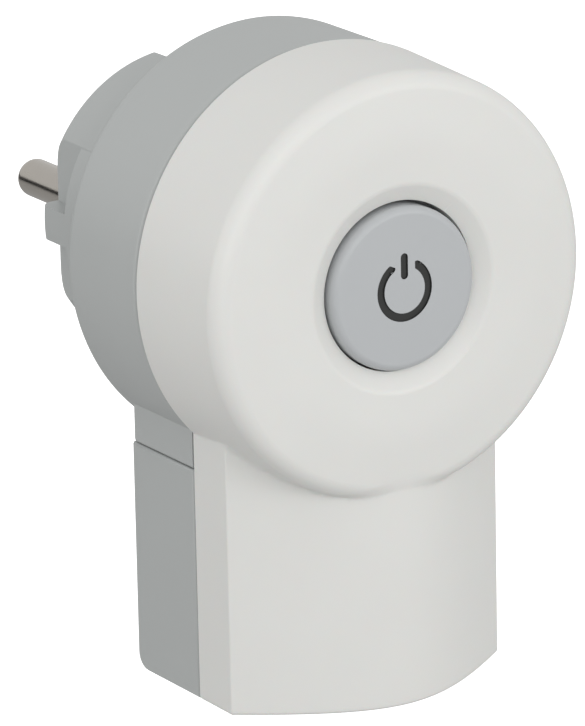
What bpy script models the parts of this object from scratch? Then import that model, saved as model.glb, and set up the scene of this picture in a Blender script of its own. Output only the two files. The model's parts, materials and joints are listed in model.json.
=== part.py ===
"""A switched mains plug: a two-pin earthed plug with a large press button in its round front, and a
neck that carries the cord entry. Each piece is a separate object, and every size below is in
millimetres. The origin is the centre of the face that meets the wall socket: +Y runs along the pins,
-Y towards the button, and the neck hangs towards -Z.
"""

import math

import bmesh
import bpy
from mathutils import Vector

MM = 0.001  # millimetres to Blender's metres
GAP = 0.3  # clearance between pieces that touch on the real plug

# The round housing, measured along Y from the socket face at 0.
SEAM_Y = -34.6  # where the white front cover meets the grey housing
COVER_R, COVER_RIM_R, RIM_FILLET = 26.4, 25.6, 2.2
FRONT_Y = -51.3  # highest ring of the slightly domed front
DISH_R, DISH_DEPTH = 12.9, 1.4  # shallow dish around the button
HOUSING_R, HOUSING_BACK_Y = 26.2, -18.0
BODY_R, BODY_FACE_FILLET = 19.2, 1.6  # the part that enters the wall socket
WALL = 2.2
SIDE_FLAT_X, SIDE_FLAT_LENGTH, SIDE_RIB = 16.4, 6.0, 2.1  # flats beside the pins, and half the rib between
EARTH_GROOVE_Z, EARTH_GROOVE_HALF = 16.4, 3.1

# The neck below the disc.
NECK_HALF, NECK_BACK_Y, NECK_SIDE_Y, NECK_FRONT_Y = 19.1, -20.4, -41.6, -51.0
NECK_SPLIT_Z, NECK_END_Z, NECK_CORNER = -22.6, -51.5, 2.0

# The pins and the earth contacts.
PIN_X, PIN_R, PIN_LENGTH = 9.5, 2.4, 19.0
EARTH_HOLE_Z, EARTH_HOLE_R = 10.0, 3.2

# The button and the switch behind it.
BUTTON_R, BUTTON_HOLE_R, BUTTON_FRONT_Y = 9.9, 10.25, -51.3
BUTTON_CHAMFER, BUTTON_BACK_Y, BUTTON_WALL = 0.5, -45.1, 1.9
FLANGE_R, FLANGE_THICK, COLLAR_R = 11.4, 1.2, 11.9
PRESS = 2.6  # the button's travel
SYMBOL_R, SYMBOL_STROKE, SYMBOL_DROP, SYMBOL_DEPTH = 3.35, 1.05, 0.6, 0.3
SYMBOL_GAP = math.radians(32)  # half the opening at the top of the ring
SYMBOL_BAR = (0.55, 3.8)  # low and high end of the bar
STEM_R, STEM_END_Y = 3.0, -35.9
SWITCH_HALF_X, SWITCH_HALF_Z, SWITCH_FRONT_Y, SWITCH_BACK_Y, SWITCH_WALL = 14.4, 7.6, -38.2, -25.6, 1.5
CONTACT_Z, CONTACT_WIDTH, CONTACT_THICK = 4.2, 5.6, 0.7
LATCH_ARM, LATCH_ANGLE, LATCH_WIRE_R = 4.5, math.radians(6), 0.4
LATCH_PIVOT = (0.0, -35.8, 7.5)

# The cord terminals, the cord clamp and the screws.
TERMINAL_X, TERMINAL_HALF = (-9.5, 0.0, 9.5), 3.2
TERMINAL_Y, TERMINAL_Z = (-33.0, -26.4), (-22.5, -14.5)
STRIP_Y = -27.85  # the switch's fixed contacts and the strips that run to the terminals
CORD_Y, CORD_HOLE_R, GROMMET_BORE_R = -34.45, 5.5, 3.9
CLAMP_Z, CLAMP_SCREW_X, CLAMP_HALF_X = (-41.2, -36.2), 8.5, 11.5
HOUSING_SCREW = (14.0, 16.7)
NECK_SCREW = (13.5, -45.0)
SWITCH_SCREW_X = 18.6

FINE, MIDDLE, COARSE = 48, 24, 14  # sides of a turned piece
SIDES = ((-1, "left"), (1, "right"))  # as seen from the button
SHELLS = ("front_cover", "rear_housing", "neck_cover")


def clear_scene():
    for obj in list(bpy.data.objects):
        bpy.data.objects.remove(obj, do_unlink=True)


def plain_material(name, colour, roughness, metallic=0.0):
    material = bpy.data.materials.new(name)
    material.use_nodes = True
    shader = material.node_tree.nodes["Principled BSDF"]
    shader.inputs["Base Color"].default_value = (*colour, 1.0)
    shader.inputs["Roughness"].default_value = roughness
    shader.inputs["Metallic"].default_value = metallic
    return material


def make_empty(name, at, parent=None):
    empty = bpy.data.objects.new(name, None)
    bpy.context.scene.collection.objects.link(empty)
    empty.parent = parent
    empty.location = Vector(at) * MM - (parent.location if parent else Vector())
    return empty


def make_object(name, bm, finish, at, parent):
    """Close the bmesh into a smooth-shaded object whose origin is at the point `at`."""
    bmesh.ops.remove_doubles(bm, verts=bm.verts, dist=1e-7)
    bmesh.ops.recalc_face_normals(bm, faces=bm.faces)
    mesh = bpy.data.meshes.new(name)
    bm.to_mesh(mesh)
    bm.free()
    mesh.shade_smooth()
    mesh.set_sharp_from_angle(angle=math.radians(35))
    obj = bpy.data.objects.new(name, mesh)
    bpy.context.scene.collection.objects.link(obj)
    if finish:
        mesh.materials.append(finish)
    obj.parent = parent
    obj.location = Vector(at) * MM - (parent.location if parent else Vector())
    return obj


def turned(name, profile, finish=None, at=(0, 0, 0), axis="Y", sides=FINE, parent=None):
    """Spin an outline of (radius, height) points round an axis. Both ends may lie on the axis."""
    bm = bmesh.new()
    place = (lambda r, h: (r, h, 0)) if axis == "Y" else (lambda r, h: (r, 0, h))
    verts = [bm.verts.new(Vector(place(r, h)) * MM) for r, h in profile]
    pairs = zip(verts, verts[1:] + verts[:1])
    edges = [bm.edges.new(pair) for pair in pairs if max(v.co.x for v in pair) > 0]
    direction = (0, 1, 0) if axis == "Y" else (0, 0, 1)
    bmesh.ops.spin(
        bm, geom=verts + edges, cent=(0, 0, 0), axis=direction, angle=math.tau, steps=sides, use_merge=True
    )
    return make_object(name, bm, finish, at, parent)


def rod(name, radius, low, high, finish=None, at=(0, 0, 0), axis="Y", sides=MIDDLE, parent=None):
    profile = [(0, low), (radius, low), (radius, high), (0, high)]
    return turned(name, profile, finish, at, axis, sides, parent)


def prism(name, outline, low, high, finish=None, at=(0, 0, 0), along="Z", parent=None):
    """Extrude an outline of two coordinates, the row axes other than `along` in X, Y, Z order."""
    order = {
        "X": lambda a, b, h: (h, a, b),
        "Y": lambda a, b, h: (a, h, b),
        "Z": lambda a, b, h: (a, b, h),
    }[along]
    bm = bmesh.new()
    base = bm.faces.new([bm.verts.new(Vector(order(a, b, low)) * MM) for a, b in outline])
    grown = bmesh.ops.extrude_face_region(bm, geom=[base])["geom"]
    moved = [part for part in grown if isinstance(part, bmesh.types.BMVert)]
    bmesh.ops.translate(bm, verts=moved, vec=Vector(order(0, 0, high - low)) * MM)
    return make_object(name, bm, finish, at, parent)


def block(name, low, high, finish=None, at=(0, 0, 0), parent=None):
    outline = [(low[0], low[1]), (high[0], low[1]), (high[0], high[1]), (low[0], high[1])]
    return prism(name, outline, low[2], high[2], finish, at, "Z", parent)


def arc(centre, radius, start, end, steps):
    """Points on a circle from one angle to another, both in degrees."""
    angles = [math.radians(start + (end - start) * i / steps) for i in range(steps + 1)]
    return [(centre[0] + radius * math.cos(a), centre[1] + radius * math.sin(a)) for a in angles]


def bent_strip(name, path, thick, finish, x=0.0, width=CONTACT_WIDTH, parent=None):
    """A flat strip that follows a path of (y, z) points, with square corners, centred on x."""
    points = [Vector(point) for point in path]
    runs = [(b - a).normalized() for a, b in zip(points, points[1:])]
    sides = [Vector((-run.y, run.x)) for run in runs]
    left, right = [], []
    for index, point in enumerate(points):
        before, after = sides[max(index - 1, 0)], sides[min(index, len(sides) - 1)]
        offset = (before + after) * (thick / 2) / (1 + before.dot(after))
        left.append(tuple(point + offset))
        right.append(tuple(point - offset))
    half = width / 2
    return prism(name, left + right[::-1], x - half, x + half, finish, along="X", parent=parent)


def coil_spring(name, radius, wire_r, low, high, turns, finish, at, parent=None, per_turn=14):
    """A round wire wound about Y, with its ends `low` and `high` counted from the point `at`."""
    curve = bpy.data.curves.new(name, "CURVE")
    curve.dimensions = "3D"
    curve.bevel_depth, curve.bevel_resolution, curve.use_fill_caps = wire_r * MM, 1, True
    count = int(turns * per_turn)
    spline = curve.splines.new("POLY")
    spline.points.add(count)
    start, end = low + wire_r, high - wire_r
    for index, point in enumerate(spline.points):
        share = index / count
        angle = math.tau * turns * share
        place = Vector((radius * math.cos(angle), start + (end - start) * share, radius * math.sin(angle)))
        point.co = (*(place * MM), 1.0)
    obj = bpy.data.objects.new(name, curve)
    bpy.context.scene.collection.objects.link(obj)
    curve.materials.append(finish)
    obj.parent = parent
    obj.location = Vector(at) * MM - (parent.location if parent else Vector())
    return obj


def combine(obj, operation, *others):
    """Join or cut an object with helpers, which stay in the scene as hidden wires.

    The exact solver leaves open edges where a boss meets the curved wall of a shell, so the closed
    shells use the manifold solver, which can't.
    """
    for other in others:
        modifier = obj.modifiers.new(other.name, "BOOLEAN")
        modifier.operation = operation
        modifier.solver = "MANIFOLD" if obj.name in SHELLS else "EXACT"
        modifier.object = other
        other.hide_render = True
        other.display_type = "WIRE"


def join(obj, *others):
    combine(obj, "UNION", *others)


def cut(obj, *others):
    combine(obj, "DIFFERENCE", *others)


def make_screw(name, at, head_r, shank_r, length, finish, facing=1, parent=None):
    """A cross-head screw whose head sits on the point `at` and faces +Y, or -Y when facing is -1."""
    head = 1.7
    profile = [(0, head), (head_r * 0.7, head), (head_r, head * 0.55), (head_r, 0)]
    profile += [(shank_r, 0), (shank_r, 0.6 - length), (shank_r * 0.4, -length), (0, -length)]
    screw = turned(name, profile, finish, at, sides=COARSE, parent=parent)
    arm, half = head_r * 0.55, head_r * 0.13
    cross = [(half, half), (half, arm), (-half, arm), (-half, half), (-arm, half), (-arm, -half)]
    cross += [(-a, -b) for a, b in cross]
    recess = prism("recess_" + name, cross, head - 0.8, head + 1, at=at, along="Y", parent=parent)
    for piece in (screw, recess):
        piece.rotation_euler.z = 0.0 if facing > 0 else math.pi
    cut(screw, recess)
    return screw


def make_front_cover(finish, parent):
    """White shell: a domed disc with a dish and a hole for the button, and the front of the neck."""
    rim_y = FRONT_Y + 0.4
    rim = arc((COVER_RIM_R - RIM_FILLET, rim_y + RIM_FILLET), RIM_FILLET, 0, -90, 5)
    dish_floor = FRONT_Y + DISH_DEPTH
    front = [(19.5, FRONT_Y + 0.1), (16.0, FRONT_Y), (DISH_R + 0.8, FRONT_Y + 0.15)]
    dish = [(DISH_R, FRONT_Y + 0.45), (DISH_R - 1.2, dish_floor - 0.2), (BUTTON_HOLE_R - 1, dish_floor)]
    outline = [(0, SEAM_Y), (COVER_R, SEAM_Y), *rim, *front, *dish, (0, dish_floor)]
    cover = turned("front_cover", outline, finish, parent=parent)

    bulge = NECK_SIDE_Y - NECK_FRONT_Y
    radius = (NECK_HALF**2 + bulge**2) / (2 * bulge)
    centre = (0, NECK_FRONT_Y + radius)
    swing = math.degrees(math.asin(NECK_HALF / radius))
    crown = arc(centre, radius, -90 - swing, -90 + swing, 16)
    neck = [(-NECK_HALF, SEAM_Y), *crown, (NECK_HALF, SEAM_Y)]
    inner_half, inner_radius = NECK_HALF - WALL, radius - WALL
    inner_swing = math.degrees(math.asin(inner_half / inner_radius))
    inner_crown = arc(centre, inner_radius, -90 - inner_swing, -90 + inner_swing, 12)
    hollow = [(-inner_half, SEAM_Y + 1), *inner_crown, (inner_half, SEAM_Y + 1)]
    inner_y = FRONT_Y + 0.4 + WALL
    disc_hollow = [(0, SEAM_Y + 1), (COVER_R - WALL, SEAM_Y + 1), (COVER_RIM_R - WALL, inner_y + 2)]
    disc_hollow += [(COVER_RIM_R - WALL - 2, inner_y), (0, inner_y)]

    join(cover, prism("neck_front", neck, NECK_END_Z, -16, parent=parent))
    cut(
        cover,
        turned("cover_hollow", disc_hollow, parent=parent),
        prism("neck_front_hollow", hollow, NECK_END_Z + WALL, -12, parent=parent),
    )
    collar_end = BUTTON_BACK_Y - FLANGE_THICK - GAP
    join(cover, rod("button_collar", COLLAR_R, inner_y - 0.8, collar_end, parent=parent))
    cut(
        cover,
        rod("button_hole", BUTTON_HOLE_R, -60, -40, sides=FINE, parent=parent),
        rod("cord_hole_front", CORD_HOLE_R, -60, -45, at=(0, CORD_Y, 0), axis="Z", parent=parent),
    )
    places = [(HOUSING_SCREW, -49.3), (NECK_SCREW, -45.8)]
    for sign, side in SIDES:
        for index, ((x, z), front_y) in enumerate(places):
            at = (sign * x, 0, z)
            tag = f"{side}_{index}"
            boss = rod("cover_boss_" + tag, 2.9, front_y, SEAM_Y - GAP, at=at, sides=16, parent=parent)
            join(cover, boss)
            cut(cover, rod("pilot_" + tag, 1.5, SEAM_Y - 8, SEAM_Y + 1, at=at, sides=COARSE, parent=parent))
    return cover


def make_rear_housing(finish, parent):
    """Grey shell: the back of the disc, the body that enters the socket, and the top of the neck."""
    front = SEAM_Y + GAP
    outline = [(0, front), (HOUSING_R, front), *arc((HOUSING_R - 1.2, HOUSING_BACK_Y - 1.2), 1.2, 0, 90, 3)]
    outline += [(BODY_R + 0.5, HOUSING_BACK_Y), (BODY_R + 0.1, HOUSING_BACK_Y + 0.5)]
    outline += arc((BODY_R - BODY_FACE_FILLET, -BODY_FACE_FILLET), BODY_FACE_FILLET, 0, 90, 3) + [(0, 0)]
    housing = turned("rear_housing", outline, finish, parent=parent)
    inner_back = HOUSING_BACK_Y - WALL
    hollow = [(0, front - 1), (HOUSING_R - WALL, front - 1), (HOUSING_R - WALL, inner_back)]
    hollow += [(15.8, inner_back), (15.8, -8.2), (13.9, -8.2), (13.9, -2.4), (0, -2.4)]
    stub = [(-NECK_HALF, front), (-NECK_HALF, NECK_BACK_Y), (NECK_HALF, NECK_BACK_Y), (NECK_HALF, front)]
    inner_half = NECK_HALF - 2
    low, high = (-inner_half, front - 1, -30), (inner_half, NECK_BACK_Y - 2, -10)
    join(housing, prism("neck_stub", stub, NECK_SPLIT_Z, -12, parent=parent))
    cut(
        housing,
        turned("housing_hollow", hollow, parent=parent),
        block("neck_stub_hollow", low, high, parent=parent),
        rod("earth_hole", EARTH_HOLE_R, -4, 2, at=(0, 0, EARTH_HOLE_Z), parent=parent),
    )
    for sign, side in SIDES:
        x = sign * HOUSING_SCREW[0]
        boss = (x, 0, HOUSING_SCREW[1])
        join(
            housing,
            rod("housing_boss_" + side, 3.4, front + GAP, inner_back + 0.7, at=boss, sides=16, parent=parent),
            rod("switch_pillar_" + side, 2.4, SWITCH_BACK_Y + GAP, inner_back + 0.7,
                at=(sign * SWITCH_SCREW_X, 0, 0), sides=16, parent=parent),
        )
        cut(
            housing,
            rod("head_pocket_" + side, 2.7, HOUSING_BACK_Y - 2.4, HOUSING_BACK_Y + 1, at=boss, sides=16,
                parent=parent),
            rod("shank_bore_" + side, 1.8, front - 1, HOUSING_BACK_Y, at=boss, sides=COARSE, parent=parent),
            rod("pillar_bore_" + side, 1.3, SWITCH_BACK_Y - 1, SWITCH_BACK_Y + 4.6,
                at=(sign * SWITCH_SCREW_X, 0, 0), sides=COARSE, parent=parent),
            rod("pin_hole_" + side, PIN_R + GAP, -4, 2, at=(sign * PIN_X, 0, 0), parent=parent),
        )
    for end, name in ((1, "upper"), (-1, "lower")):
        for sign, side in SIDES:
            low_x, high_x = sorted((sign * SIDE_FLAT_X, sign * 22))
            low_z, high_z = sorted((end * SIDE_RIB, end * 12))
            flat = block(f"side_flat_{name}_{side}", (low_x, -SIDE_FLAT_LENGTH, low_z), (high_x, 2, high_z),
                         parent=parent)
            cut(housing, flat)
        low_z, high_z = sorted((end * EARTH_GROOVE_Z, end * 22))
        low, high = (-EARTH_GROOVE_HALF, -17.3, low_z), (EARTH_GROOVE_HALF, 2, high_z)
        groove = block(f"earth_groove_{name}", low, high, parent=parent)
        low_z, high_z = sorted((end * 13.5, end * 17))
        slot = block(f"earth_slot_{name}", (-2.9, -17.3, low_z), (2.9, -15.7, high_z), parent=parent)
        cut(housing, groove, slot)
    return housing


def make_neck_cover(finish, parent):
    """Grey shell that closes the back of the neck below the split, so the cord can be fitted."""
    front, top = SEAM_Y + GAP, NECK_SPLIT_Z - GAP
    corner = arc((NECK_BACK_Y - NECK_CORNER, NECK_END_Z + NECK_CORNER), NECK_CORNER, -90, 0, 5)
    outline = [(front, top), (front, NECK_END_Z), *corner, (NECK_BACK_Y, top)]
    cover = prism("neck_cover", outline, -NECK_HALF, NECK_HALF, finish, along="X", parent=parent)
    inner_half = NECK_HALF - 2
    low, high = (-inner_half, front - 1, NECK_END_Z + 2), (inner_half, NECK_BACK_Y - 2, top + 1)
    cut(
        cover,
        block("neck_cover_hollow", low, high, parent=parent),
        rod("disc_clearance", HOUSING_R + GAP, front - 1, NECK_BACK_Y + 1, sides=FINE, parent=parent),
        rod("cord_hole_back", CORD_HOLE_R, -60, -45, at=(0, CORD_Y, 0), axis="Z", parent=parent),
    )
    for sign, side in SIDES:
        at = (sign * NECK_SCREW[0], 0, NECK_SCREW[1])
        boss = rod("neck_boss_" + side, 3.2, front + GAP, NECK_BACK_Y - 1, at=at, sides=16, parent=parent)
        join(cover, boss)
        cut(
            cover,
            rod("neck_head_pocket_" + side, 2.7, NECK_BACK_Y - 2.4, NECK_BACK_Y + 1, at=at, sides=16,
                parent=parent),
            rod("neck_shank_bore_" + side, 1.8, front - 1, NECK_BACK_Y, at=at, sides=COARSE, parent=parent),
        )
    return cover


def make_button_cap(finish, parent):
    """Round cap with a retaining flange, and a power symbol engraved in its face."""
    flat, edge, back = BUTTON_FRONT_Y, BUTTON_R - BUTTON_CHAMFER, BUTTON_BACK_Y
    outline = [(0, flat), *arc((edge, flat + BUTTON_CHAMFER), BUTTON_CHAMFER, -90, 0, 3)]
    outline += [(BUTTON_R, back - FLANGE_THICK), (FLANGE_R, back - FLANGE_THICK), (FLANGE_R, back)]
    outline += [(BUTTON_R - 1.6, back), (BUTTON_R - 1.6, flat + BUTTON_WALL), (0, flat + BUTTON_WALL)]
    cap = turned("button_cap", outline, finish, parent=parent)
    start, end = 90 + math.degrees(SYMBOL_GAP), 450 - math.degrees(SYMBOL_GAP)
    half = SYMBOL_STROKE / 2
    ring = arc((0, -SYMBOL_DROP), SYMBOL_R + half, start, end, 24)
    ring += arc((0, -SYMBOL_DROP), SYMBOL_R - half, end, start, 24)
    low, high = SYMBOL_BAR
    bar = (-half, flat - 1, low), (half, flat + SYMBOL_DEPTH, high)
    cut(
        cap,
        prism("symbol_ring", ring, flat - 1, flat + SYMBOL_DEPTH, along="Y", parent=parent),
        block("symbol_bar", *bar, parent=parent),
    )
    return cap


def make_button_plunger(finish, parent):
    """Stem behind the cap, with a collar that seats the return spring."""
    front, collar_y = BUTTON_FRONT_Y + BUTTON_WALL + GAP, BUTTON_BACK_Y + 0.7
    outline = [(0, front), (STEM_R + 1.5, front), (STEM_R + 1.5, collar_y), (7.6, collar_y)]
    outline += [(7.6, collar_y + 1), (STEM_R, collar_y + 1), (STEM_R, STEM_END_Y), (0, STEM_END_Y)]
    return turned("button_plunger", outline, finish, sides=MIDDLE, parent=parent)


def make_switch_base(finish, parent):
    """Moulded frame round the contacts, open above and below, with ears for its two screws."""
    x, front, back, wall = SWITCH_HALF_X, SWITCH_FRONT_Y, SWITCH_BACK_Y, SWITCH_WALL
    base = block("switch_base", (-x, front, -SWITCH_HALF_Z), (x, back, SWITCH_HALF_Z), finish, parent=parent)
    ear_x = SWITCH_SCREW_X + 2.4
    low, roof, top, lip_y = 7.0, 8.3, 9.6, LATCH_PIVOT[1] + 1.1
    shelf = [(front, low), (front + wall, low), (front + wall, roof)]
    shelf += [(lip_y, roof), (lip_y, top), (front, top)]
    inside = (-x + wall, front + wall, -20), (x - wall, back - wall, 20)
    cut(base, block("switch_inside", *inside, parent=parent))
    join(
        base,
        block("switch_ears", (x - 1, back - wall, -2.6), (ear_x, back, 2.6), parent=parent),
        block("switch_ears_left", (-ear_x, back - wall, -2.6), (1 - x, back, 2.6), parent=parent),
        prism("latch_shelf", shelf, -2.5, 2.5, along="X", parent=parent),
    )
    cut(
        base,
        rod("stem_hole", STEM_R + GAP, front - 1, front + wall + 1, parent=parent),
        rod("latch_hole", LATCH_WIRE_R + 0.25, 8, 11, at=(*LATCH_PIVOT[:2], 0), axis="Z", sides=COARSE,
            parent=parent),
    )
    for sign, side in SIDES:
        at = (sign * SWITCH_SCREW_X, 0, 0)
        cut(base, rod("ear_hole_" + side, 1.3, back - 3, back + 1, at=at, sides=COARSE, parent=parent))
    return base


def make_contact_carrier(finish, parent):
    """Insulating crossbar at the stem's end, with a cam groove for the latch pin on top."""
    front, back, half_x = STEM_END_Y + GAP, STEM_END_Y + GAP + 1.4, SWITCH_HALF_X - SWITCH_WALL - 0.6
    carrier = block("contact_carrier", (-half_x, front, -2.4), (half_x, back, 2.4), finish, parent=parent)
    cam_top, tip_y = 6.6, LATCH_PIVOT[1] + LATCH_ARM
    reach = LATCH_ARM * math.sin(LATCH_ANGLE)
    join(
        carrier,
        block("carrier_web", (-3.2, front, -2.4), (3.2, back, cam_top - 0.8), parent=parent),
        block("cam_plate", (-3.2, front, cam_top - 1.8), (3.2, tip_y + 1.3, cam_top), parent=parent),
    )
    wide, slope = LATCH_WIRE_R + 0.35, reach / PRESS
    near, far = tip_y + 0.7, tip_y - PRESS - 0.7
    track = [(-wide - 0.7 * slope, near), (wide - 0.7 * slope, near)]
    track += [(reach + wide + 0.7 * slope, far), (reach - wide + 0.7 * slope, far)]
    cut(carrier, prism("cam_groove", track, cam_top - 1.0, cam_top + 1, parent=parent))
    return carrier


def make_latch_pin(finish, parent):
    """Bent wire that hooks up into the switch base and down into the carrier's cam groove."""
    curve = bpy.data.curves.new("latch_pin", "CURVE")
    curve.dimensions = "3D"
    curve.bevel_depth, curve.bevel_resolution, curve.use_fill_caps = LATCH_WIRE_R * MM, 2, True
    bend = 0.55
    path = [(0, 0, 1.7), (0, 0, bend), (0, bend * 0.3, bend * 0.3), (0, bend, 0)]
    path += [(0, LATCH_ARM - bend, 0), (0, LATCH_ARM - bend * 0.3, -bend * 0.3)]
    path += [(0, LATCH_ARM, -bend), (0, LATCH_ARM, -1.55)]
    spline = curve.splines.new("POLY")
    spline.points.add(len(path) - 1)
    for point, place in zip(spline.points, path):
        point.co = (*(Vector(place) * MM), 1.0)
    pin = bpy.data.objects.new("latch_pin", curve)
    bpy.context.scene.collection.objects.link(pin)
    curve.materials.append(finish)
    pin.parent = parent
    return pin


def make_contacts(copper, steel, root, button):
    """Two bridges that ride on the carrier, their springs, and the four fixed strips behind them."""
    carrier_back = STEM_END_Y + GAP + 1.4
    bridge_y = carrier_back + 1.9
    pin_strip_y = -14.5
    rivet = [(0, 0.4), (1.4, 0.4), (1.4, 0.9), (0.9, 1.2), (0, 1.2)]
    for sign, pole in ((-1, "line"), (1, "neutral")):
        x = sign * PIN_X
        coil_spring("contact_spring_" + pole, 1.5, 0.25, GAP, 1.6, 2, steel, (x, carrier_back, 0), button, 12)
        half = CONTACT_WIDTH / 2
        low, high = (x - half, bridge_y, -5.6), (x + half, bridge_y + 0.8, 5.6)
        bridge = block("contact_bridge_" + pole, low, high, copper, parent=button)
        for end, name in ((1, "upper"), (-1, "lower")):
            at = (x, bridge_y, end * CONTACT_Z)
            tip = turned(f"bridge_tip_{pole}_{name}", rivet, at=at, sides=COARSE, parent=button)
            join(bridge, tip)
        rise = SWITCH_HALF_Z + 0.7
        path = [(STRIP_Y, 2.4), (STRIP_Y, rise), (pin_strip_y, rise), (pin_strip_y, -2.9)]
        link = bent_strip("pin_link_" + pole, path, CONTACT_THICK, copper, x, parent=root)
        cut(link, rod("link_eye_" + pole, 2.1, -20, -10, at=(x, 0, 0), sides=COARSE, parent=root))
        path = [(STRIP_Y, -2.4), (STRIP_Y, TERMINAL_Z[1] - 2.6)]
        bent_strip("cord_link_" + pole, path, CONTACT_THICK, copper, x, parent=root)


def make_pins(nickel, plastic, root):
    """Two turned pins with a collar behind the insulating plate that carries them."""
    tip = arc((PIN_R - 1.6, PIN_LENGTH - 1.6), 1.6, 0, 90, 4)
    for sign, pole in ((-1, "line"), (1, "neutral")):
        outline = [(0, -15.6), (1.8, -15.6), (1.8, -7.6), (3.4, -7.6), (3.4, -6.1), (PIN_R, -6.1)]
        turned(pole + "_pin", outline + tip + [(0, PIN_LENGTH)], nickel, (sign * PIN_X, 0, 0), sides=MIDDLE,
               parent=root)
    plate = rod("pin_plate", 13.3, -5.8, -2.7, plastic, sides=MIDDLE, parent=root)
    cut(plate, rod("plate_earth_hole", 4.2, -8, 0, at=(0, 0, EARTH_HOLE_Z), parent=root))
    for sign, side in SIDES:
        cut(plate, rod("plate_hole_" + side, PIN_R + GAP, -8, 0, at=(sign * PIN_X, 0, 0), parent=root))


def make_earth_parts(steel, nickel, root):
    """A strip whose two arms lie in the grooves, a sleeve for the socket's earth pin, and their link."""
    reach, back = EARTH_GROOVE_Z + 0.7, -16.5
    path = [(-2.2, reach), (back, reach), (back, -reach), (-2.2, -reach)]
    bent_strip("earth_strip", path, 0.8, steel, width=5.0, parent=root)
    sleeve = [(EARTH_HOLE_R - 0.1, -15.8), (3.9, -15.8), (3.9, -2.7), (EARTH_HOLE_R - 0.1, -2.7)]
    turned("earth_socket", sleeve, nickel, (0, 0, EARTH_HOLE_Z), sides=MIDDLE, parent=root)
    path = [(-28.3, TERMINAL_Z[1] - 2.6), (-28.3, -11), (-17.6, -11), (-17.6, -6)]
    bent_strip("earth_link", path, 0.8, steel, width=5.0, parent=root)


def make_terminals(brass, steel, plastic, root):
    """Three brass blocks with clamping screws, in a tray with ribs between them."""
    front, back = TERMINAL_Y
    low, high = TERMINAL_Z
    for x, name in zip(TERMINAL_X, ("line", "earth", "neutral")):
        half = TERMINAL_HALF
        corners = (x - half, front, low), (x + half, back, high)
        terminal = block("terminal_" + name, *corners, brass, parent=root)
        strip_y = -28.3 if name == "earth" else STRIP_Y
        slot = (x - 3.1, strip_y - 0.7, high - 2.9), (x + 3.1, strip_y + 0.7, high + 1)
        wire = (x, -30.0, 0)
        cut(
            terminal,
            block("strip_slot_" + name, *slot, parent=root),
            rod("wire_hole_" + name, 1.7, low - 1, -18.2, at=wire, axis="Z", sides=COARSE, parent=root),
            rod("thread_" + name, 1.5, front - 1, -30.0, at=(x, 0, -20.3), sides=COARSE, parent=root),
        )
        make_screw("terminal_screw_" + name, (x, front - GAP, -20.3), 2.3, 1.2, 2.6, steel, -1, root)
    rib, floor = 0.9, back + GAP
    outline = [(-14, floor), (-14, floor + 1.8), (14, floor + 1.8), (14, floor)]
    for x in (4.75, -4.75):
        outline += [(x + rib / 2, floor), (x + rib / 2, front), (x - rib / 2, front), (x - rib / 2, floor)]
    prism("terminal_tray", outline, -25, -12.6, plastic, parent=root)


def make_cord_clamp(plastic, steel, rubber, root):
    """Saddle and bar that grip the cord, two screws, and the bushing in the cord hole."""
    low, high = CLAMP_Z
    half, cord_r = CLAMP_HALF_X, GROMMET_BORE_R + 0.2
    saddle_top, bar_y = CORD_Y - cord_r, CORD_Y + cord_r
    saddle = block("cord_clamp_base", (-half, saddle_top - 4, low), (half, saddle_top + 1.4, high), plastic,
                   parent=root)
    bar = block("cord_clamp_bar", (-half, bar_y - 1.4, low + 0.5), (half, bar_y + 1.6, high - 0.5), steel,
                parent=root)
    for piece, name in ((saddle, "base"), (bar, "bar")):
        cut(piece, rod("cord_groove_" + name, cord_r, -60, -30, at=(0, CORD_Y, 0), axis="Z", parent=root))
        for sign, side in SIDES:
            at = (sign * CLAMP_SCREW_X, 0, (low + high) / 2)
            hole = rod(f"clamp_hole_{name}_{side}", 1.5, -45 + 4.5, 0, at=at, sides=COARSE, parent=root)
            cut(piece, hole)
    for sign, side in SIDES:
        at = (sign * CLAMP_SCREW_X, bar_y + 1.6 + GAP, (low + high) / 2)
        make_screw("clamp_screw_" + side, at, 2.4, 1.2, 11.5, steel, 1, root)
    hole_r, flange_z = CORD_HOLE_R - GAP, NECK_END_Z + WALL + GAP
    sleeve = [(GROMMET_BORE_R, NECK_END_Z + 0.2), (hole_r, NECK_END_Z + 0.2), (hole_r, flange_z)]
    sleeve += [(hole_r + 1.5, flange_z), (hole_r + 1.5, flange_z + 1), (GROMMET_BORE_R, flange_z + 1)]
    turned("cord_grommet", sleeve, rubber, (0, CORD_Y, 0), "Z", sides=MIDDLE, parent=root)


def make_case_screws(steel, root):
    for sign, side in SIDES:
        at = (sign * HOUSING_SCREW[0], HOUSING_BACK_Y - 2.4 + GAP, HOUSING_SCREW[1])
        make_screw("housing_screw_" + side, at, 2.3, 1.2, 21, steel, 1, root)
        at = (sign * NECK_SCREW[0], NECK_BACK_Y - 2.4 + GAP, NECK_SCREW[1])
        make_screw("neck_screw_" + side, at, 2.3, 1.2, 17, steel, 1, root)
        at = (sign * SWITCH_SCREW_X, SWITCH_BACK_Y - SWITCH_WALL - GAP, 0)
        make_screw("switch_screw_" + side, at, 2.1, 1.0, 5.2, steel, -1, root)


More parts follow.
